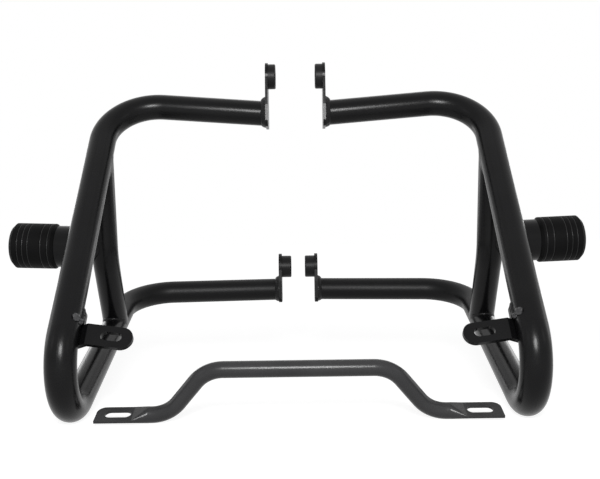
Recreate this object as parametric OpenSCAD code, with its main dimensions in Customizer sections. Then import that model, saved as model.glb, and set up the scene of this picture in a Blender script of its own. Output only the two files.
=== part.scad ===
// Motorcycle crash bars: a left and a right bent tube guard, each with a
// strut, two frame brackets, a slotted tab and a grooved slider puck, and the
// slotted cross bar that joins the two tabs in front of the engine.
// Millimetres. +X to the right seen from the front, +Y to the rear, +Z up.
// Origin: midway between the two upper frame bolts, on their common axis.
// Every guard piece is drawn for the +X side and mirrored for the other one.

/* [Guard tube] */
// Outside diameter of the bent guard tube
tube_d = 28; // [24:0.5:32]
// Outside diameter of the strut inside the loop
strut_d = 28; // [22:0.5:30]
// Bend radius at the shoulder, on the tube axis
shoulder_r = 58; // [45:1:80]
// Bend radius at the toe, the lowest point of the loop
toe_r = 44; // [35:1:52]
// Bend radius at the heel, where the loop turns to the lower bracket
heel_r = 61; // [45:1:75]
// Bend radius of the strut
strut_r = 58; // [40:1:90]

/* [Loop shape] */
// Shoulder corner, sideways from the middle
shoulder_x = 211; // [190:1:240]
// Shoulder corner, behind the upper bolts
shoulder_y = -3; // [-30:1:20]
// Shoulder corner, below the upper bolts
shoulder_drop = 29; // [15:1:36]
// Toe corner of the two straight runs, sideways from the middle
toe_x = 204; // [190:1:230]
// Toe corner, in front of the upper bolts
toe_y = -290; // [-310:1:-260]
// Toe corner, below the upper bolts
toe_drop = 378; // [360:1:400]
// Heel corner, sideways from the middle
heel_x = 218; // [205:1:235]
// Heel corner, behind the upper bolts
heel_y = 118; // [100:1:125]
// Heel corner, below the upper bolts
heel_drop = 253.5; // [245:0.5:262]
// Strut, distance of its upper end down the front run from the shoulder corner
strut_top = 84; // [75:1:110]
// Strut bend, sideways from the middle
strut_x = 210; // [200:1:216]
// Strut bend, behind the upper bolts
strut_y = -38; // [-50:1:-20]
// Strut bend, below the upper bolts
strut_drop = 203; // [190:1:215]
// Strut, distance of its lower end along the lower run from the heel corner
strut_foot = 98; // [80:1:120]

/* [Upper frame brackets] */
// Clear distance between the two upper bosses
upper_gap = 45; // [30:1:80]
// Length of an upper boss
upper_boss_len = 8.5; // [5:0.5:20]
// Diameter of an upper boss
upper_boss_d = 28; // [24:1:30]
// Thickness of the upper bracket plate
upper_plate_t = 3; // [2:0.5:6]
// Radius of the plate round the upper bolt
upper_ear_r = 15.5; // [15:0.5:18]
// Upper bolt axis above the tube end
upper_arm_drop = 42.5; // [38:0.5:50]
// Width of the plate across the tube end
upper_foot_w = 36; // [34:1:42]
// Plate edge below the tube
upper_foot_rim = 2; // [1:0.5:5]
// Diameter of the upper bolt holes
upper_bolt_d = 10.5; // [8.5:0.5:12.5]

/* [Lower frame brackets] */
// Clear distance between the two lower bosses
lower_gap = 18; // [12:1:40]
// Length of a lower boss
lower_boss_len = 12.5; // [8:0.5:16]
// Diameter of a lower boss
lower_boss_d = 28.5; // [24:0.5:30]
// Thickness of the lower bracket plate
lower_plate_t = 4; // [3:0.5:6]
// Radius of the plate round the lower bolt
lower_ear_r = 17; // [15:0.5:19]
// Lower bolt axis behind the upper one
lower_bolt_y = 139; // [125:1:150]
// Lower bolt axis below the upper one
lower_bolt_drop = 222; // [214:1:230]
// Lower bolt axis above the tube end
lower_arm_drop = 30; // [29:0.5:34]
// Width of the lower plate
lower_plate_w = 35; // [34:1:40]
// Plate edge below the tube
lower_foot_rim = 2.5; // [1:0.5:5]
// Diameter of the lower bolt holes
lower_bolt_d = 10.5; // [8.5:0.5:12.5]

/* [Slotted tab] */
// Tab, distance of its slot down the front run from the shoulder corner
tab_down = 309; // [290:1:316]
// Slot centre, inboard of the tube axis
tab_out = 41.5; // [38:0.5:50]
// Thickness of the tab
tab_t = 4; // [3:0.5:5]
// Width of the slotted strap
tab_w = 21; // [20:0.5:28]
// Length of the slot, end to end
tab_slot_len = 19; // [14:0.5:22]
// Width of the slot
tab_slot_w = 8.5; // [6.5:0.5:10.5]
// Strap left beyond the slot, at its round end
tab_rim = 10; // [7:0.5:14]
// Downward slope of the strap, towards the middle
tab_slope = 9; // [0:1:16]
// Distance from the side of the tube to the fold
tab_fold_gap = 5; // [3:0.5:8]
// Angle of the fold between strap and root leg
tab_fold = 35; // [20:1:45]
// Root leg above the slot centre, along the tube
tab_root_up = 33; // [26:1:46]
// Root leg below the slot centre, along the tube
tab_root_down = 3; // [2:1:12]
// Inner edge of the root leg, set back from the fold
tab_root_set = 4.5; // [0:0.5:9]

/* [Slider puck] */
// Diameter of the puck
puck_d = 49; // [40:1:60]
// Length of the puck
puck_len = 48; // [40:1:60]
// Chamfer on both ends of the puck
puck_chamfer = 3.5; // [1:0.5:6]
// Grooves in the outer group
puck_grooves = 3; // [1:1:3]
// Grooves in the inner group
puck_inner_grooves = 2; // [1:1:2]
// Spacing of the outer grooves
puck_groove_step = 5.6; // [4:0.1:7]
// Spacing of the inner grooves
puck_inner_step = 7.3; // [5:0.1:9]
// Width of a groove
puck_groove_w = 1.4; // [0.8:0.1:2.5]
// Depth of a groove
puck_groove_deep = 1; // [0.5:0.1:2]
// Distance from the outer face to the nearest groove
puck_groove_edge = 9.3; // [6:0.1:11]
// Distance from the inner face to the nearest groove
puck_inner_edge = 6.5; // [5:0.5:9]
// Diameter of the recess for the bolt head
puck_recess_d = 22; // [22:0.5:28]
// Depth of the recess for the bolt head
puck_recess_deep = 14; // [13:1:22]
// Puck axis below the upper bolts
puck_drop = 192; // [182:1:200]
// Puck inner face, outboard of the strut axis
puck_off = 49; // [42:1:60]
// Upward tilt of the puck axis, towards its outer end
puck_tilt = 2; // [0:0.5:6]
// Diameter of the post that carries the puck
post_d = 26; // [20:1:30]
// Diameter of the collar at the puck end of the post
collar_d = 45; // [36:1:48]
// Length of the collar
collar_len = 16; // [8:1:20]
// Diameter of the puck bolt
bolt_d = 10; // [8:1:12]
// Clearance round the puck bolt
bolt_clear = 0.5; // [0.2:0.1:1]
// Diameter of the bolt head
bolt_head_d = 16; // [13:0.5:18]
// Height of the bolt head
bolt_head_h = 10; // [6:0.5:12]
// Key size of the bolt head
bolt_key = 8; // [5:0.5:8]
// Length of the bolt in the post
bolt_grip = 22; // [15:1:30]
// Diameter of the washer
washer_d = 21; // [18:0.5:22]
// Thickness of the washer
washer_t = 2; // [1:0.5:3]

/* [Cross bar] */
// Outside diameter of the cross bar tube
bar_d = 15; // [12:0.5:18]
// Length of the straight middle run between its bend corners
bar_middle = 165; // [140:1:180]
// Offset of the middle run from the slotted ends
bar_offset = 46; // [30:1:60]
// Bend radius on the tube axis
bar_r = 32; // [25:1:38]
// Distance from a slot centre to the bend corner of its end
bar_end_bend = 46; // [45:1:54]
// Length of the flat, from the slot centre towards the middle
bar_flat_in = 14; // [13:0.5:16]
// Length of the flat, from the slot centre to the end
bar_flat_out = 20; // [17:1:26]
// Length over which the tube turns flat
bar_taper = 14; // [10:0.5:15]
// Thickness of the flattened ends
bar_flat_t = 2.5; // [2:0.5:6]
// Length of a slot, end to end
bar_slot_len = 24; // [16:0.5:25]
// Width of a slot
bar_slot_w = 10.5; // [6.5:0.5:11]
// Forward lean of the bend plane
bar_lean = 21; // [0:1:60]
// Cross bar, slots behind the toe corner
bar_back = 115; // [105:1:125]
// Cross bar, slots above the toe corner
bar_rise = 34; // [18:1:43]

/* [Hidden] */
$fn = 32;
// thickness of the end slices of a lofted shape
slice = 0.2;
// a bend is drawn this much slimmer than its runs, which reach into it
seam = 0.02;
seam_in = 0.5;

// bracket planes, measured outward from the middle
up_boss_x = upper_gap / 2;
up_plate_x = up_boss_x + upper_boss_len;
up_tube_x = up_plate_x + upper_plate_t;
lo_boss_x = lower_gap / 2;
lo_plate_x = lo_boss_x + lower_boss_len;
lo_tube_x = lo_plate_x + lower_plate_t;

// extra tube that is cut off flush with the bracket plates
cut_off = 6;

// corner points of the loop, from the upper bracket to the lower one
arm_end = [up_tube_x - cut_off, 0, -upper_arm_drop];
shoulder = [shoulder_x, shoulder_y, -shoulder_drop];
toe = [toe_x, toe_y, -toe_drop];
heel = [heel_x, heel_y, -heel_drop];
low_end = [lo_tube_x - cut_off, lower_bolt_y, -lower_bolt_drop - lower_arm_drop];
loop_pts = [arm_end, shoulder, toe, heel, low_end];
loop_r = [shoulder_r, toe_r, heel_r];

// directions of the two long runs
front_dir = unit(toe - shoulder);
low_dir = unit(toe - heel);

// the strut starts on the axis of the front run and ends on the lower run
strut_knee = [strut_x, strut_y, -strut_drop];
strut_a = shoulder + front_dir * strut_top;
strut_b = heel + low_dir * strut_foot;
strut_pts = [strut_a, strut_knee, strut_b];

// the puck post leaves the strut at the puck's height
post_t = (puck_drop + strut_a[2]) / (strut_drop + strut_a[2]);
post_at = strut_a + (strut_knee - strut_a) * post_t;

// the slotted tab stands behind the front run
tab_at = shoulder + front_dir * tab_down;
tab_lean = atan2(-front_dir[1], -front_dir[2]);
tab_x = tab_at[0] - tab_out;
tab_bite = 0.5;
tab_crease_x = tube_d / 2 + tab_fold_gap;
tab_front_z = (tube_d / 2 - tab_bite) / cos(tab_fold) - tab_crease_x * tan(tab_fold);

// smaller derived sizes of the puck and its bolt
bolt_hole_d = bolt_d + 2 * bolt_clear;
seat_x = puck_off + puck_len - puck_recess_deep;
head_x = seat_x + washer_t;

function unit(v) = v / norm(v);
// turn of the path at a corner, and how far the bend reaches along each run
function turn(a, b, c) = acos(unit(b - a) * unit(c - b));
function reach(a, b, c, r) = r * tan(turn(a, b, c) / 2);

// a straight round bar between two points
module rod(a, b, d) {
    v = b - a;
    translate(a)
        rotate([0, acos(v[2] / norm(v)), atan2(v[1], v[0])])
            cylinder(h = norm(v), d = d);
}

// a round bend at corner b, from the run a-b to the run b-c
module bend(a, b, c, r, d) {
    k = reach(a, b, c, r);
    u = unit(a - b);
    w = unit(c - b);
    mid = b + unit(u + w) * r / cos(turn(a, b, c) / 2);
    ex = unit(b + u * k - mid);
    ez = unit(cross(ex, b + w * k - mid));
    ey = cross(ez, ex);
    ax = atan2(ey[2], ez[2]);
    ay = atan2(-ex[2], norm([ex[0], ex[1]]));
    az = atan2(ex[1], ex[0]);
    translate(mid)
        rotate([ax, ay, az])
            rotate_extrude(angle = turn(a, b, c), $fn = 40)
                translate([r, 0])
                    circle(d = d - seam, $fn = 24);
}

// a bent tube along corner points p, with one bend radius per inner corner
module bent_tube(p, r, d) {
    n = len(p) - 1;
    cut = [for (i = [0:n]) (i == 0 || i == n) ? 0
           : reach(p[i - 1], p[i], p[i + 1], r[i - 1])];
    for (i = [0:n - 1]) {
        u = unit(p[i + 1] - p[i]);
        k0 = i == 0 ? 0 : seam_in;
        k1 = i == n - 1 ? 0 : seam_in;
        rod(p[i] + u * (cut[i] - k0), p[i + 1] - u * (cut[i + 1] - k1), d);
    }
    for (i = [1:n - 1])
        bend(p[i - 1], p[i], p[i + 1], r[i - 1], d);
}

module loop_body() {
    bent_tube(loop_pts, loop_r, tube_d);
}

// everything inboard of a bracket face, round the height z
module inboard(x, y, z) {
    translate([x - 40, y - 30, z - 30])
        cube([40, 60, 60]);
}

// turns local X, Y, Z of a flat outline into world Y, Z, X
module on_side(x) {
    translate([x, 0, 0])
        rotate([90, 0, 90])
            children();
}

// the loop, cut flat where it meets its two bracket plates
module loop_tube() {
    difference() {
        loop_body();
        inboard(up_tube_x, 0, arm_end[2]);
        inboard(lo_tube_x, lower_bolt_y, low_end[2]);
    }
}

// the strut, coped at both ends where it meets the loop
module strut() {
    difference() {
        bent_tube(strut_pts, [strut_r], strut_d);
        loop_body();
    }
}

// what rounding takes off the two bottom corners of a plate outline
module corner_cuts(w, y, c) {
    for (s = [0, 1])
        mirror([s, 0])
            difference() {
                translate([w - c, y - 1])
                    square([c + 1, c + 1]);
                translate([w - c, y + c])
                    circle(r = c);
            }
}

// outline of the upper plate below its round ear, down past the tube end
module upper_outline() {
    foot = upper_arm_drop + tube_d / 2 + upper_foot_rim;
    w = upper_foot_w / 2;
    c = 7;
    difference() {
        polygon([
            [-upper_ear_r * 0.96, 0], [upper_ear_r * 0.96, 0],
            [w, -upper_arm_drop + tube_d / 2 - 6],
            [w, -foot], [-w, -foot],
            [-w, -upper_arm_drop + tube_d / 2 - 6]
        ]);
        corner_cuts(w, -foot, c);
    }
}

// a flat bracket plate: round ear, bolt hole, and the outline below it
module bracket_plate(x, t, ear_r, hole) {
    on_side(x)
        difference() {
            union() {
                cylinder(h = t, r = ear_r);
                linear_extrude(t)
                    children();
            }
            translate([0, 0, -1])
                cylinder(h = t + 2, d = hole);
        }
}

module upper_plate() {
    bracket_plate(up_plate_x, upper_plate_t, upper_ear_r, upper_bolt_d)
        upper_outline();
}

// a turned boss with a small chamfer on its free end
module boss(x, len, d, hole) {
    c = 1;
    on_side(x)
        rotate_extrude()
            polygon([
                [hole / 2, 0], [d / 2 - c, 0], [d / 2, c],
                [d / 2, len], [hole / 2, len]
            ]);
}

module upper_boss() {
    boss(up_boss_x, upper_boss_len, upper_boss_d, upper_bolt_d);
}

// side outline of the lower plate below its round ear
module lower_outline() {
    foot = lower_arm_drop + tube_d / 2 + lower_foot_rim;
    w = lower_plate_w / 2;
    c = 6;
    difference() {
        polygon([
            [-lower_ear_r * 0.96, 0], [lower_ear_r * 0.96, 0],
            [w, -lower_ear_r - 2], [w, -foot],
            [-w, -foot], [-w, -lower_ear_r - 2]
        ]);
        corner_cuts(w, -foot, c);
    }
}

module lower_place() {
    translate([0, lower_bolt_y, -lower_bolt_drop])
        children();
}

module lower_plate() {
    lower_place()
        bracket_plate(lo_plate_x, lower_plate_t, lower_ear_r, lower_bolt_d)
            lower_outline();
}

module lower_boss() {
    lower_place()
        boss(lo_boss_x, lower_boss_len, lower_boss_d, lower_bolt_d);
}

// local frame of the tab: X outboard, Y down the front run, Z to the rear
module tab_place() {
    translate(tab_at)
        rotate([-tab_lean, 0, 0])
            rotate([-90, 0, 0])
                children();
}

// slotted strap with a round free end, its slot centred on the origin
module tab_strap_outline() {
    r = tab_w / 2;
    tip = tab_slot_len / 2 + tab_rim - r;
    translate([-tip, -r])
        square([tip + tab_out, tab_w]);
    translate([-tip, 0])
        circle(r = r);
}

module tab_slot_outline() {
    s = (tab_slot_len - tab_slot_w) / 2;
    for (k = [-s, s])
        translate([k, 0])
            circle(d = tab_slot_w);
    translate([-s, -tab_slot_w / 2])
        square([2 * s, tab_slot_w]);
}

// tall root leg, with a round corner at its upper inboard end
module tab_root_outline() {
    c = 7;
    x0 = tab_root_set - tab_crease_x;
    translate([x0, c - tab_root_up])
        square([tab_crease_x + 4, tab_root_up + tab_root_down - c]);
    translate([x0 + c, -tab_root_up])
        square([tab_crease_x + 4 - c, tab_root_up]);
    translate([x0 + c, c - tab_root_up])
        circle(r = c);
}

// the folded strip seen along the tube
module tab_section() {
    b = tab_front_z;
    t = tab_t;
    n = (tab_crease_x - 3) / cos(tab_fold);
    polygon([
        [-2 * tab_out, b], [-tab_crease_x, b],
        [n * cos(tab_fold) - tab_crease_x, b + n * sin(tab_fold)],
        [n * cos(tab_fold) - t * sin(tab_fold) - tab_crease_x,
         b + n * sin(tab_fold) + t * cos(tab_fold)],
        [-t * tan(tab_fold / 2) - tab_crease_x, b + t],
        [-2 * tab_out, b + t]
    ]);
}

module tab() {
    difference() {
        tab_place()
            difference() {
                intersection() {
                    translate([0, tab_root_down + 40, 0])
                        rotate([90, 0, 0])
                            linear_extrude(tab_root_up + tab_root_down + 70)
                                tab_section();
                    linear_extrude(40)
                        union() {
                            translate([-tab_out, 0])
                                rotate(-tab_slope)
                                    tab_strap_outline();
                            tab_root_outline();
                        }
                }
                translate([-tab_out, 0])
                    rotate(-tab_slope)
                        linear_extrude(40)
                            tab_slot_outline();
            }
        loop_body();
    }
}

// local frame of the puck: X outboard along its axis
module puck_place() {
    translate(post_at)
        rotate([0, -puck_tilt, 0])
            rotate([0, 90, 0])
                children();
}

module puck_post() {
    difference() {
        puck_place() {
            cylinder(h = puck_off, d = post_d);
            translate([0, 0, puck_off - collar_len])
                cylinder(h = collar_len, d = collar_d);
        }
        loop_body();
        bent_tube(strut_pts, [strut_r], strut_d);
        puck_place()
            translate([0, 0, puck_off - bolt_grip])
                cylinder(h = bolt_grip + 1, d = bolt_d);
    }
}

module groove(r, z) {
    translate([r - puck_groove_deep, z - puck_groove_w / 2])
        square([puck_groove_deep + 1, puck_groove_w]);
}

// half section of the puck, turned round its axis
module puck_profile() {
    r = puck_d / 2;
    c = puck_chamfer;
    difference() {
        polygon([
            [bolt_hole_d / 2, 0], [r - c, 0], [r, c],
            [r, puck_len - c], [r - c, puck_len],
            [puck_recess_d / 2, puck_len],
            [puck_recess_d / 2, puck_len - puck_recess_deep],
            [bolt_hole_d / 2, puck_len - puck_recess_deep]
        ]);
        for (i = [0:puck_grooves - 1])
            groove(r, puck_len - puck_groove_edge - i * puck_groove_step);
        for (i = [0:puck_inner_grooves - 1])
            groove(r, puck_inner_edge + i * puck_inner_step);
    }
}

module puck() {
    puck_place()
        translate([0, 0, puck_off])
            rotate_extrude($fn = 48)
                puck_profile();
}

module puck_washer() {
    puck_place()
        translate([0, 0, seat_x])
            difference() {
                cylinder(h = washer_t, d = washer_d);
                translate([0, 0, -1])
                    cylinder(h = washer_t + 2, d = bolt_hole_d);
            }
}

module puck_bolt() {
    puck_place()
        difference() {
            union() {
                translate([0, 0, puck_off - bolt_grip])
                    cylinder(h = head_x - puck_off + bolt_grip, d = bolt_d);
                translate([0, 0, head_x])
                    cylinder(h = bolt_head_h, d = bolt_head_d);
            }
            translate([0, 0, head_x + bolt_head_h / 2])
                cylinder(h = bolt_head_h, d = bolt_key / cos(30), $fn = 6);
        }
}

// corner points of the cross bar axis, in its own bend plane
bar_span = 2 * tab_x;
bar_pts = [
    [-bar_span / 2 + bar_flat_in + bar_taper - slice / 2, 0, 0],
    [-bar_span / 2 + bar_end_bend, 0, 0],
    [-bar_middle / 2, bar_offset, 0],
    [bar_middle / 2, bar_offset, 0],
    [bar_span / 2 - bar_end_bend, 0, 0],
    [bar_span / 2 - bar_flat_in - bar_taper + slice / 2, 0, 0]
];

// flat slotted end, from the round tube outward, centred on the slot
module bar_end() {
    w = PI * (bar_d - bar_flat_t) / 2 + bar_flat_t;
    len = bar_flat_in + bar_flat_out;
    c = 8;
    difference() {
        union() {
            hull() {
                translate([-bar_flat_in, -w / 2, -bar_flat_t / 2])
                    cube([slice, w, bar_flat_t]);
                translate([-bar_flat_in - bar_taper, 0, 0])
                    rotate([0, 90, 0])
                        cylinder(h = slice, d = bar_d / cos(180 / $fn) + 0.05);
            }
            translate([-bar_flat_in, -w / 2, -bar_flat_t / 2])
                cube([len - c, w, bar_flat_t]);
            translate([-bar_flat_in, -w / 2, -bar_flat_t / 2])
                cube([len, w - c, bar_flat_t]);
            translate([bar_flat_out - c, w / 2 - c, -bar_flat_t / 2])
                cylinder(h = bar_flat_t, r = c);
        }
        for (s = [-1, 1])
            translate([s * (bar_slot_len - bar_slot_w) / 2, 0, -bar_flat_t])
                cylinder(h = 2 * bar_flat_t, d = bar_slot_w);
        translate([-(bar_slot_len - bar_slot_w) / 2, -bar_slot_w / 2, -bar_flat_t])
            cube([bar_slot_len - bar_slot_w, bar_slot_w, 2 * bar_flat_t]);
    }
}

module cross_bar() {
    translate([0, toe_y + bar_back, bar_rise - toe_drop])
        rotate([bar_lean, 0, 0]) {
            rotate([90, 0, 0])
                bent_tube(bar_pts, [bar_r, bar_r, bar_r, bar_r], bar_d);
            for (s = [0, 1])
                mirror([s, 0, 0])
                    translate([bar_span / 2, 0, 0])
                        bar_end();
        }
}

// left pieces are the mirror image of the right ones
module left() {
    mirror([1, 0, 0])
        children();
}

steel = [0.07, 0.07, 0.075];
plastic = [0.1, 0.1, 0.1];
zinc = [0.5, 0.5, 0.5];

module right_loop() { color(steel) loop_tube(); }
module left_loop() { color(steel) left() loop_tube(); }
module right_strut() { color(steel) strut(); }
module left_strut() { color(steel) left() strut(); }
module right_upper_plate() { color(steel) upper_plate(); }
module left_upper_plate() { color(steel) left() upper_plate(); }
module right_upper_boss() { color(steel) upper_boss(); }
module left_upper_boss() { color(steel) left() upper_boss(); }
module right_lower_plate() { color(steel) lower_plate(); }
module left_lower_plate() { color(steel) left() lower_plate(); }
module right_lower_boss() { color(steel) lower_boss(); }
module left_lower_boss() { color(steel) left() lower_boss(); }
module right_tab() { color(steel) tab(); }
module left_tab() { color(steel) left() tab(); }
module right_puck_post() { color(steel) puck_post(); }
module left_puck_post() { color(steel) left() puck_post(); }
module right_puck() { color(plastic) puck(); }
module left_puck() { color(plastic) left() puck(); }
module right_puck_washer() { color(zinc) puck_washer(); }
module left_puck_washer() { color(zinc) left() puck_washer(); }
module right_puck_bolt() { color(zinc) puck_bolt(); }
module left_puck_bolt() { color(zinc) left() puck_bolt(); }
module slotted_cross_bar() { color(steel) cross_bar(); }

right_loop();
left_loop();
right_strut();
left_strut();
right_upper_plate();
left_upper_plate();
right_upper_boss();
left_upper_boss();
right_lower_plate();
left_lower_plate();
right_lower_boss();
left_lower_boss();
right_tab();
left_tab();
right_puck_post();
left_puck_post();
right_puck();
left_puck();
right_puck_washer();
left_puck_washer();
right_puck_bolt();
left_puck_bolt();
slotted_cross_bar();
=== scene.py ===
import math

import bmesh
import bpy
from mathutils import Matrix, Vector


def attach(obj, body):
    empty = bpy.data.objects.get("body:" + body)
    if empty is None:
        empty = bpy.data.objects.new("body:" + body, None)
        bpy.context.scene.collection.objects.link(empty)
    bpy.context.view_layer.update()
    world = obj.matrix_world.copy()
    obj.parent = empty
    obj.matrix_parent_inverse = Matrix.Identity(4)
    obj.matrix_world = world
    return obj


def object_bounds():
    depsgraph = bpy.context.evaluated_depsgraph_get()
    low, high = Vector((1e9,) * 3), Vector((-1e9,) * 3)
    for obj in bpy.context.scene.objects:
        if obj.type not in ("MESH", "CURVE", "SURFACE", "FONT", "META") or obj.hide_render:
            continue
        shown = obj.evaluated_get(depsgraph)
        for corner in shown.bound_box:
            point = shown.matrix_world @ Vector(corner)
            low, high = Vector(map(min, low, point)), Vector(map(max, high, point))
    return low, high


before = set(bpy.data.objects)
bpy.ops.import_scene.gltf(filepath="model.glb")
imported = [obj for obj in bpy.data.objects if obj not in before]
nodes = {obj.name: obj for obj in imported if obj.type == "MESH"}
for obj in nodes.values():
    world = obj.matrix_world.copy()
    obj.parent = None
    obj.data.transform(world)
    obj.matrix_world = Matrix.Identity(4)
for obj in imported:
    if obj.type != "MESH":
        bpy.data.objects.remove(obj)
box_at_load = [list(map(float, v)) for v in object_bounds()]
mm = 0.001


# materials

def new_material(name):
    """An empty material with a Principled shader: the material, its node tree and the shader."""
    m = bpy.data.materials.new(name)
    m.use_nodes = True
    nt = m.node_tree
    nt.nodes.clear()
    out = nt.nodes.new("ShaderNodeOutputMaterial")
    sh = nt.nodes.new("ShaderNodeBsdfPrincipled")
    nt.links.new(sh.outputs["BSDF"], out.inputs["Surface"])
    return m, nt, sh


def coords(nt, scale=(1, 1, 1)):
    """Object coordinates in metres, stretched by `scale`."""
    tc = nt.nodes.new("ShaderNodeTexCoord")
    mp = nt.nodes.new("ShaderNodeMapping")
    mp.inputs["Scale"].default_value = scale
    nt.links.new(tc.outputs["Object"], mp.inputs["Vector"])
    return mp.outputs["Vector"]


def noise(nt, vec, scale, detail=3.0, rough=0.55):
    n = nt.nodes.new("ShaderNodeTexNoise")
    n.inputs["Scale"].default_value = scale
    n.inputs["Detail"].default_value = detail
    n.inputs["Roughness"].default_value = rough
    nt.links.new(vec, n.inputs["Vector"])
    return n.outputs["Fac"]


def spread(nt, fac, lo, hi, a=0.3, b=0.7):
    """Maps a value between a and b to a value between lo and hi."""
    r = nt.nodes.new("ShaderNodeMapRange")
    r.inputs["From Min"].default_value = a
    r.inputs["From Max"].default_value = b
    r.inputs["To Min"].default_value = lo
    r.inputs["To Max"].default_value = hi
    nt.links.new(fac, r.inputs["Value"])
    return r.outputs["Result"]


def mix(nt, fac, dark, light):
    """A colour between dark and light, by the middle part of the noise."""
    r = nt.nodes.new("ShaderNodeValToRGB")
    r.color_ramp.elements[0].position = 0.3
    r.color_ramp.elements[1].position = 0.7
    r.color_ramp.elements[0].color = (*dark, 1)
    r.color_ramp.elements[1].color = (*light, 1)
    nt.links.new(fac, r.inputs["Fac"])
    return r.outputs["Color"]


def bump(nt, sh, layers):
    """Stacks bump layers, each given as (height, strength, distance in metres)."""
    normal = None
    for fac, strength, dist in layers:
        b = nt.nodes.new("ShaderNodeBump")
        b.inputs["Strength"].default_value = strength
        b.inputs["Distance"].default_value = dist
        nt.links.new(fac, b.inputs["Height"])
        if normal is not None:
            nt.links.new(normal, b.inputs["Normal"])
        normal = b.outputs["Normal"]
    nt.links.new(normal, sh.inputs["Normal"])


# how far the roughness goes below and above its middle value
rough_less, rough_more = 0.06, 0.08
# the coat gets duller over this depth behind the upper bolts, in metres
dull_from, dull_to = 0.0, 0.11


def powder_coat(name, dark, light, rough, shine=0.12, dull=0.0):
    """Black powder coat, with orange peel and fine grain.

    `shine` is the specular level. It is low, so that the coat stays black in the white surroundings.
    `dull` is how much rougher heat and road dirt have made it near the engine, at the back.
    """
    m, nt, sh = new_material(name)
    v = coords(nt)
    cloud = noise(nt, v, 22, 4)
    peel = noise(nt, v, 420, 2)
    grain = noise(nt, v, 1500, 3, 0.65)
    nt.links.new(mix(nt, cloud, dark, light), sh.inputs["Base Color"])
    place = nt.nodes.new("ShaderNodeSeparateXYZ")
    nt.links.new(v, place.inputs["Vector"])
    add = nt.nodes.new("ShaderNodeMath")
    nt.links.new(spread(nt, grain, rough - rough_less, rough + rough_more), add.inputs[0])
    nt.links.new(spread(nt, place.outputs["Y"], 0.0, dull, dull_from, dull_to), add.inputs[1])
    nt.links.new(add.outputs["Value"], sh.inputs["Roughness"])
    sh.inputs["Specular IOR Level"].default_value = shine
    bump(nt, sh, [(peel, 0.07, 0.0004), (grain, 0.06, 0.0001)])
    return m


def turned_plastic(name, rough, shine, dark, light):
    """Black plastic with the fine lines of turning round the X axis."""
    m, nt, sh = new_material(name)
    lines = noise(nt, coords(nt, (1, 0.02, 0.02)), 2600, 2)
    fine = noise(nt, coords(nt), 1300, 3)
    cloud = noise(nt, coords(nt), 40, 3)
    nt.links.new(mix(nt, cloud, dark, light), sh.inputs["Base Color"])
    nt.links.new(spread(nt, fine, rough - rough_less, rough + rough_more), sh.inputs["Roughness"])
    sh.inputs["Specular IOR Level"].default_value = shine
    bump(nt, sh, [(lines, 0.16, 0.0002), (fine, 0.12, 0.0001)])
    return m


def bolt_metal(name):
    m, nt, sh = new_material(name)
    cloud = noise(nt, coords(nt), 160, 4)
    fine = noise(nt, coords(nt, (1, 0.1, 0.1)), 3000, 2)
    nt.links.new(mix(nt, cloud, (0.20, 0.20, 0.21), (0.36, 0.36, 0.37)), sh.inputs["Base Color"])
    nt.links.new(spread(nt, cloud, 0.28, 0.45), sh.inputs["Roughness"])
    sh.inputs["Metallic"].default_value = 0.95
    bump(nt, sh, [(fine, 0.15, 0.0001)])
    return m


coat = powder_coat("guard_powder_coat", rough=0.25, dull=0.16,
                   dark=(0.003, 0.003, 0.0032), light=(0.0045, 0.0045, 0.0048))
# the cross bar's base colour is painted light: much lighter than the guards' coat, standing in for the
# white surroundings the bar reflects
bar_coat_painted_light = powder_coat("cross_bar_powder_coat_painted_light", rough=0.26, shine=0.17,
                       dark=(0.024, 0.024, 0.025), light=(0.034, 0.034, 0.035))
boss_coat = powder_coat("boss_powder_coat", rough=0.40,
                        dark=(0.006, 0.006, 0.0062), light=(0.009, 0.009, 0.0094))
bead_coat = powder_coat("weld_bead_coat", rough=0.22,
                        dark=(0.008, 0.008, 0.0082), light=(0.014, 0.014, 0.0145))
# the tack weld's light grey base colour is a painted glint of the lamps on it
tack_coat_painted_glint = powder_coat("tack_weld_painted_glint_coat", rough=0.16,
                        dark=(0.03, 0.03, 0.031), light=(0.07, 0.07, 0.072))
plastic = turned_plastic("puck_turned_plastic", rough=0.55, shine=0.05,
                         dark=(0.0025, 0.0025, 0.0025), light=(0.0045, 0.0045, 0.0047))
# the lips' plastic is glossier and lighter than the puck's: its lighter colour is a painted highlight
# along the groove edges
lip_plastic_painted_highlight = turned_plastic("puck_groove_lip_painted_highlight", rough=0.33, shine=0.2,
                                dark=(0.011, 0.011, 0.011), light=(0.018, 0.018, 0.0185))
zinc = bolt_metal("bolt_dark_zinc")

for name, ob in nodes.items():
    mat = coat
    if name == "slotted_cross_bar":
        mat = bar_coat_painted_light
    elif name.endswith("_boss"):
        mat = boss_coat
    elif name.endswith("_puck"):
        mat = plastic
    elif name.endswith("_puck_washer") or name.endswith("_puck_bolt"):
        mat = zinc
    ob.data.materials.clear()
    ob.data.materials.append(mat)

# the tube lines of the part's source, in millimetres, for the right guard

tube_r, strut_r, post_r = 14.0, 14.0, 13.0
arm_end = Vector((28, 0, -42.5))
shoulder = Vector((211, -3, -29))
toe = Vector((204, -290, -378))
heel = Vector((218, 118, -253.5))
low_end = Vector((19.5, 139, -252))
# outer faces of the upper and lower plates, where the arms are welded on
upper_plate_face, lower_plate_face = 34.0, 25.5
front = (toe - shoulder).normalized()
low = (toe - heel).normalized()
strut_drop = 203
knee = Vector((210, -38, -strut_drop))
strut_top, strut_foot = 84, 98
strut_a = shoulder + front * strut_top
strut_b = heel + low * strut_foot
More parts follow.
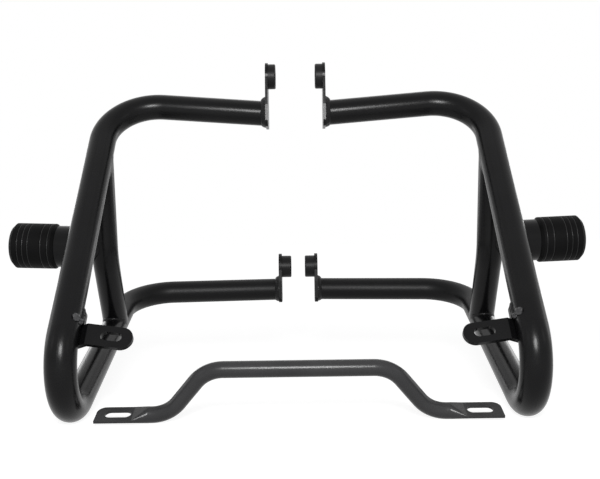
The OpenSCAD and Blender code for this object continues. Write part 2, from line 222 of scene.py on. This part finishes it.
# the puck's post leaves the strut where the strut's line is this far down, and points up a little
post_drop = 192
post_tilt = math.radians(2)
post_at = strut_a + (knee - strut_a) * ((post_drop + strut_a.z) / (strut_drop + strut_a.z))
post_dir = Vector((math.cos(post_tilt), 0, math.sin(post_tilt)))
puck_off, puck_len, collar_len = 49, 48, 16
# the grooves' places from the puck's inner end: two from there and three from the outer end
puck_grooves = (6.5, 13.8, puck_len - 20.5, puck_len - 14.9, puck_len - 9.3)
tab_down = 309


# the lines that a weld follows: rows of (corner, one leg's direction, the other's, and both lengths)

def side_axes(w):
    """Two directions square to w and to each other."""
    a = w.cross(Vector((0, 0, 1)) if abs(w.z) < 0.9 else Vector((0, 1, 0))).normalized()
    return a, w.cross(a).normalized()


def ring_on_plate(p, w, r, x, to_tube, to_plate, up=0.0, n=264):
    """The corner between the round bar (p, w, r) and the plate face at x.

    The leg over the plate grows by `up` towards the top, where the plate has room for it.
    """
    a, b = side_axes(w)
    rows = []
    for i in range(n):
        t = 2 * math.pi * i / n
        d = a * math.cos(t) + b * math.sin(t)
        corner = p + d * r
        corner = corner + w * ((x - corner.x) / w.x)
        over = Vector((0, d.y, d.z)).normalized()
        rows.append((corner, w, over, to_tube, to_plate + up * max(over.z, 0) ** 1.5))
    return rows


def ring_on_bar(p, w, r, q, v, big, to_branch, to_bar, n=264):
    """The corner where the branch (p, w, r) leaves the bar (q, v, big).

    Both legs of the bead run square to the corner line, one over each bar.
    """
    a, b = side_axes(w)
    corners, on_branch, on_bar = [], [], []
    for i in range(n):
        t = 2 * math.pi * i / n
        d = a * math.cos(t) + b * math.sin(t)
        start = p + d * r - q
        # a line along the branch meets the bar where aa h^2 + bb h + cc = 0
        flat_start = start - v * start.dot(v)
        flat_w = w - v * w.dot(v)
        aa, bb = flat_w.dot(flat_w), 2 * flat_start.dot(flat_w)
        cc = flat_start.dot(flat_start) - big * big
        h = (-bb + math.sqrt(max(bb * bb - 4 * aa * cc, 0.0))) / (2 * aa)
        corner = p + d * r + w * h
        rad = corner - q
        corners.append(corner)
        on_branch.append(d)
        on_bar.append((rad - v * rad.dot(v)).normalized())
    rows = []
    for i in range(n):
        line = (corners[(i + 1) % n] - corners[i - 1]).normalized()
        along = line.cross(on_branch[i]).normalized()
        over = on_bar[i].cross(line).normalized()
        rows.append([corners[i], along, over, to_branch, to_bar])
    if rows[0][1].dot(w) < 0:
        rows = [[c, -al, -ov, la, lo] for c, al, ov, la, lo in rows]
    return rows


def ring_at_step(c, w, r, leg_a, leg_o, n=220):
    """The corner at the foot of a round step, such as a collar on its post."""
    a, b = side_axes(w)
    rows = []
    for i in range(n):
        t = 2 * math.pi * i / n
        d = a * math.cos(t) + b * math.sin(t)
        rows.append((c + d * r, w, d, leg_a, leg_o))
    return rows


def straight(start, end, along, over, leg_a, leg_o, n=66):
    return [(start.lerp(end, i / (n - 1)), along, over, leg_a, leg_o) for i in range(n)]


# the pieces that the scene adds

def mirrored_mesh(name, verts, faces, material):
    """Adds the piece to both guards: the left one is the mirror image of the right one."""
    for side, label in ((1, "right_"), (-1, "left_")):
        me = bpy.data.meshes.new(label + name)
        me.from_pydata([(side * p.x * mm, p.y * mm, p.z * mm) for p in verts], [], faces)
        bm = bmesh.new()
        bm.from_mesh(me)
        bmesh.ops.recalc_face_normals(bm, faces=bm.faces)
        bm.to_mesh(me)
        bm.free()
        for f in me.polygons:
            f.use_smooth = True
        me.materials.append(material)
        ob = bpy.data.objects.new(label + name, me)
        bpy.context.collection.objects.link(ob)
        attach(ob, "root")


# how far a bead's toes sink into the metal, and how far its hidden corner does
toe_sink, root_sink = 0.25, 0.6


def bead(name, rows, closed=True, pitch=2.2, seed=0.0, sides=10, material=None):
    """A fillet weld with the bowed ripples that the moving puddle leaves, `pitch` apart."""
    n = len(rows)
    run = [0.0]
    for i in range(1, n):
        run.append(run[-1] + (rows[i][0] - rows[i - 1][0]).length)
    whole = run[-1] + ((rows[0][0] - rows[-1][0]).length if closed else 0)
    pitch = whole / round(whole / pitch)
    verts, faces = [], []
    for i, (corner, along, over, leg_a, leg_o) in enumerate(rows):
        turn = 2 * math.pi * run[i] / whole
        wob = 0.05 * math.sin(3 * turn + seed) + 0.04 * math.sin(7 * turn + 2 * seed)
        end = 1.0
        if not closed:
            end = math.sqrt(max(min(min(i, n - 1 - i) / (n * 0.22), 1.0), 0.03))
        for k in range(sides):
            th = math.pi / 2 * k / (sides - 1)
            bow = 0.35 * math.sin(2 * th)
            wave = abs(math.sin(math.pi * (run[i] / pitch + bow)))
            grow = end * (1.0 + wob + (0.12 * wave - 0.06) * (0.4 + 0.6 * math.sin(2 * th)))
            ca, co = math.cos(th) ** 1.35, math.sin(th) ** 1.35
            verts.append(corner + along * (leg_a * ca * grow - toe_sink * (1 - ca))
                         + over * (leg_o * co * grow - toe_sink * (1 - co)))
        verts.append(corner - (along + over) * root_sink)
    m = sides + 1
    for i in range(n if closed else n - 1):
        j = (i + 1) % n
        for k in range(m):
            kk = (k + 1) % m
            faces.append((i * m + k, i * m + kk, j * m + kk, j * m + k))
    if not closed:
        faces.append(tuple(range(m)))
        faces.append(tuple((n - 1) * m + k for k in range(m)))
    mirrored_mesh(name, verts, faces, material or bead_coat)


def blob(name, centre, out, up, size, rise, material, seed=0.0, rings=18, segs=28):
    """A lump of weld on a surface whose outward direction is `out`."""
    across = out.cross(up).normalized()
    verts, faces = [], []
    for i in range(rings):
        ph = math.pi * (i + 0.5) / rings
        for j in range(segs):
            t = 2 * math.pi * j / segs
            wide_lumps = 0.10 * math.sin(3 * t + seed) * math.sin(2 * ph)
            fine_lumps = 0.07 * math.sin(5 * t + 4 * ph + seed)
            lump = 1 + wide_lumps + fine_lumps
            x, y, z = math.sin(ph) * math.cos(t), math.sin(ph) * math.sin(t), math.cos(ph)
            verts.append(centre + across * (size[0] * x * lump) + up * (size[1] * y * lump)
                         + out * (rise * z * lump))
    for i in range(rings - 1):
        for j in range(segs):
            k = (j + 1) % segs
            faces.append((i * segs + j, i * segs + k, (i + 1) * segs + k, (i + 1) * segs + j))
    faces.append(tuple(range(segs)))
    faces.append(tuple((rings - 1) * segs + j for j in range(segs)))
    mirrored_mesh(name, verts, faces, material)


ex = Vector((1, 0, 0))
arm_dir = (shoulder - arm_end).normalized()
low_arm = (heel - low_end).normalized()
brace_top = (knee - strut_a).normalized()
brace_foot = (knee - strut_b).normalized()
collar_foot = post_at + post_dir * (puck_off - collar_len)

bead("upper_arm_weld",
     ring_on_plate(arm_end, arm_dir, tube_r, upper_plate_face, to_tube=5.4, to_plate=2.2, up=2.6),
     seed=0.3)
bead("lower_arm_weld",
     ring_on_plate(low_end, low_arm, tube_r, lower_plate_face, to_tube=5.0, to_plate=2.2, up=1.6),
     seed=1.1)
bead("strut_top_weld",
     ring_on_bar(strut_a, brace_top, strut_r, shoulder, front, tube_r, to_branch=2.6, to_bar=2.4),
     seed=0.7)
bead("strut_foot_weld",
     ring_on_bar(strut_b, brace_foot, strut_r, heel, low, tube_r, to_branch=2.2, to_bar=2.0),
     seed=1.9, material=coat)
bead("post_weld",
     ring_on_bar(post_at, post_dir, post_r, strut_a, brace_top, strut_r, to_branch=3.0, to_bar=2.6),
     seed=2.3)
bead("collar_weld",
     ring_at_step(collar_foot, -post_dir, post_r, leg_a=3.0, leg_o=3.6),
     seed=2.9)

# the tab's own frame: X outboard, Y down the run, Z to the rear
tab_at = shoulder + front * tab_down
lean = math.atan2(-front.y, -front.z)
ty = Vector((0, -math.sin(lean), -math.cos(lean)))
tz = Vector((0, math.cos(lean), -math.sin(lean)))


def tab_pt(x, y, z):
    return tab_at + ex * x + ty * y + tz * z


bead("tab_root_weld",
     straight(tab_pt(-14.0, -29, 1.5), tab_pt(-14.0, -11, 1.5), -tz, -ex, leg_a=3.2, leg_o=1.6),
     closed=False, pitch=2.4, seed=0.4)

# the rough tack beside the tab lies on the tube's flank, which faces inward and forward; its light grey
# colour is a painted glint
flank = (-ex * 0.872 - tz * 0.489).normalized()
spill_out = (flank + tz * 0.3).normalized()
blob("tab_tack_weld", tab_pt(-11.6, -13.4, -7.8), flank, ty,
     size=(4.9, 3.7), rise=2.4, material=tack_coat_painted_glint, seed=0.8)
blob("tab_tack_spill", tab_pt(-14.0, -12.6, -2.6), spill_out, ty,
     size=(3.2, 3.0), rise=1.7, material=tack_coat_painted_glint, seed=2.1)

# the shiny lips that turning left at the mouths of the puck's grooves; they are glossier, and lighter
# than the puck as a painted highlight along the groove edges
lip_round, lip_sides = 96, 8
lip_r, lip_half_width, lip_half_height = 23.85, 0.62, 0.5
lip_a, lip_b = side_axes(post_dir)
verts, faces = [], []
for off in puck_grooves:
    for i in range(lip_round):
        t = 2 * math.pi * i / lip_round
        d = lip_a * math.cos(t) + lip_b * math.sin(t)
        for k in range(lip_sides):
            g = 2 * math.pi * k / lip_sides
            verts.append(post_at + post_dir * (puck_off + off + lip_half_width * math.sin(g))
                         + d * (lip_r + lip_half_height * math.cos(g)))
for ring in range(len(puck_grooves)):
    base = ring * lip_round * lip_sides
    for i in range(lip_round):
        here = base + i * lip_sides
        there = base + (i + 1) % lip_round * lip_sides
        for k in range(lip_sides):
            kk = (k + 1) % lip_sides
            faces.append((here + k, here + kk, there + kk, there + k))
mirrored_mesh("puck_groove_lips", verts, faces, lip_plastic_painted_highlight)

# camera: level, at the photograph's distance and height, and rolled a little as the photograph is

camera_lens, sensor_width = 44.9, 36.0
camera_at = (0.003, -0.856, -0.1865)
camera_roll = math.radians(0.8)

cam_data = bpy.data.cameras.new("camera")
cam = bpy.data.objects.new("camera", cam_data)
bpy.context.collection.objects.link(cam)
cam_data.lens = camera_lens
cam_data.sensor_width = sensor_width
cam.location = camera_at
level = Matrix.Rotation(math.radians(90), 4, "X")
cam.rotation_euler = (Matrix.Rotation(camera_roll, 4, "Y") @ level).to_euler()
bpy.context.scene.camera = cam


# white surroundings

def surroundings(nt, seen, gloss, soft):
    """Strength of the surroundings: seen directly or through glass, in a gloss, and as soft light."""
    lp = nt.nodes.new("ShaderNodeLightPath")
    total = None
    for kind, strength in (("Is Camera Ray", seen - soft), ("Is Transmission Ray", seen - soft),
                           ("Is Glossy Ray", gloss - soft)):
        add = nt.nodes.new("ShaderNodeMath")
        add.operation = "MULTIPLY_ADD"
        add.inputs[1].default_value = strength
        add.inputs[2].default_value = soft
        nt.links.new(lp.outputs[kind], add.inputs[0])
        if total:
            nt.links.new(total, add.inputs[2])
        total = add.outputs["Value"]
    return total


world = bpy.data.worlds.new("world")
bpy.context.scene.world = world
world.use_nodes = True
wt = world.node_tree
wt.nodes.clear()
wo = wt.nodes.new("ShaderNodeOutputWorld")
bg = wt.nodes.new("ShaderNodeBackground")
bg.inputs["Color"].default_value = (1, 1, 1, 1)
wt.links.new(surroundings(wt, seen=1.0, gloss=1.0, soft=0.04), bg.inputs["Strength"])
wt.links.new(bg.outputs["Background"], wo.inputs["Surface"])

# a white sheet just under the part: a little darker near it, which is painted shade, so that its faint
# shadow shows
floor_gap, floor_size, floor_grey = 0.0005, 40.0, 0.30
glow_near_painted_shade, glow_far = 0.90, 1.02
near, far = 0.4, 1.8

sheet, nt, sh = new_material("floor_white_sheet")
sh.inputs["Base Color"].default_value = (floor_grey, floor_grey, floor_grey, 1)
sh.inputs["Roughness"].default_value = 0.9
sh.inputs["Specular IOR Level"].default_value = 0.0
sh.inputs["Emission Color"].default_value = (1, 1, 1, 1)
distance = nt.nodes.new("ShaderNodeVectorMath")
distance.operation = "LENGTH"
nt.links.new(coords(nt), distance.inputs[0])
glow = nt.nodes.new("ShaderNodeMath")
glow.operation = "MULTIPLY"
nt.links.new(surroundings(nt, seen=1.0, gloss=1.0, soft=0.0), glow.inputs[0])
# the glow dims towards the part: painted shade around and under it
nt.links.new(spread(nt, distance.outputs["Value"], glow_near_painted_shade, glow_far, near, far), glow.inputs[1])
nt.links.new(glow.outputs["Value"], sh.inputs["Emission Strength"])

half = floor_size / 2
floor_z = box_at_load[0][2] - floor_gap
corners = [(-half, -half, floor_z), (half, -half, floor_z), (half, half, floor_z), (-half, half, floor_z)]
me = bpy.data.meshes.new("floor")
me.from_pydata(corners, [], [(0, 1, 2, 3)])
me.materials.append(sheet)
floor = bpy.data.objects.new("floor", me)
bpy.context.collection.objects.link(floor)


# studio light

def area(name, loc, target, w, h, power):
    """A soft box of w by h metres and `power` watts at loc, turned to the target."""
    ld = bpy.data.lights.new(name, "AREA")
    ld.shape = "RECTANGLE"
    ld.size = w
    ld.size_y = h
    ld.energy = power
    lo = bpy.data.objects.new(name, ld)
    bpy.context.collection.objects.link(lo)
    lo.location = loc
    d = Vector(target) - Vector(loc)
    lo.rotation_euler = d.to_track_quat("-Z", "Y").to_euler()


middle = (0, 0, -0.15)
below_middle = (0, -0.1, -0.2)
area("front_soft_box", (0, -1.02, 0.09), middle, w=0.26, h=0.26, power=12.5)
area("left_soft_box", (-1.3, -0.9, 0.4), below_middle, w=0.35, h=0.5, power=0.6)
area("right_soft_box", (1.3, -0.9, 0.4), below_middle, w=0.35, h=0.5, power=0.6)
area("top_soft_box", (0, -0.1, 1.1), below_middle, w=0.9, h=0.6, power=0.35)
area("rear_top_soft_box", (0, 1.1, 1.0), middle, w=0.8, h=0.5, power=0.8)
for side, label in ((-1, "left"), (1, "right")):
    area("rear_%s_soft_box" % label, (side * 0.9, 1.3, 0.0), middle, w=0.6, h=0.35, power=1.5)
    area("side_%s_soft_box" % label, (side * 1.6, 0.35, 0.1), middle, w=0.5, h=0.5, power=1.2)

bpy.context.scene.view_settings.view_transform = "Standard"
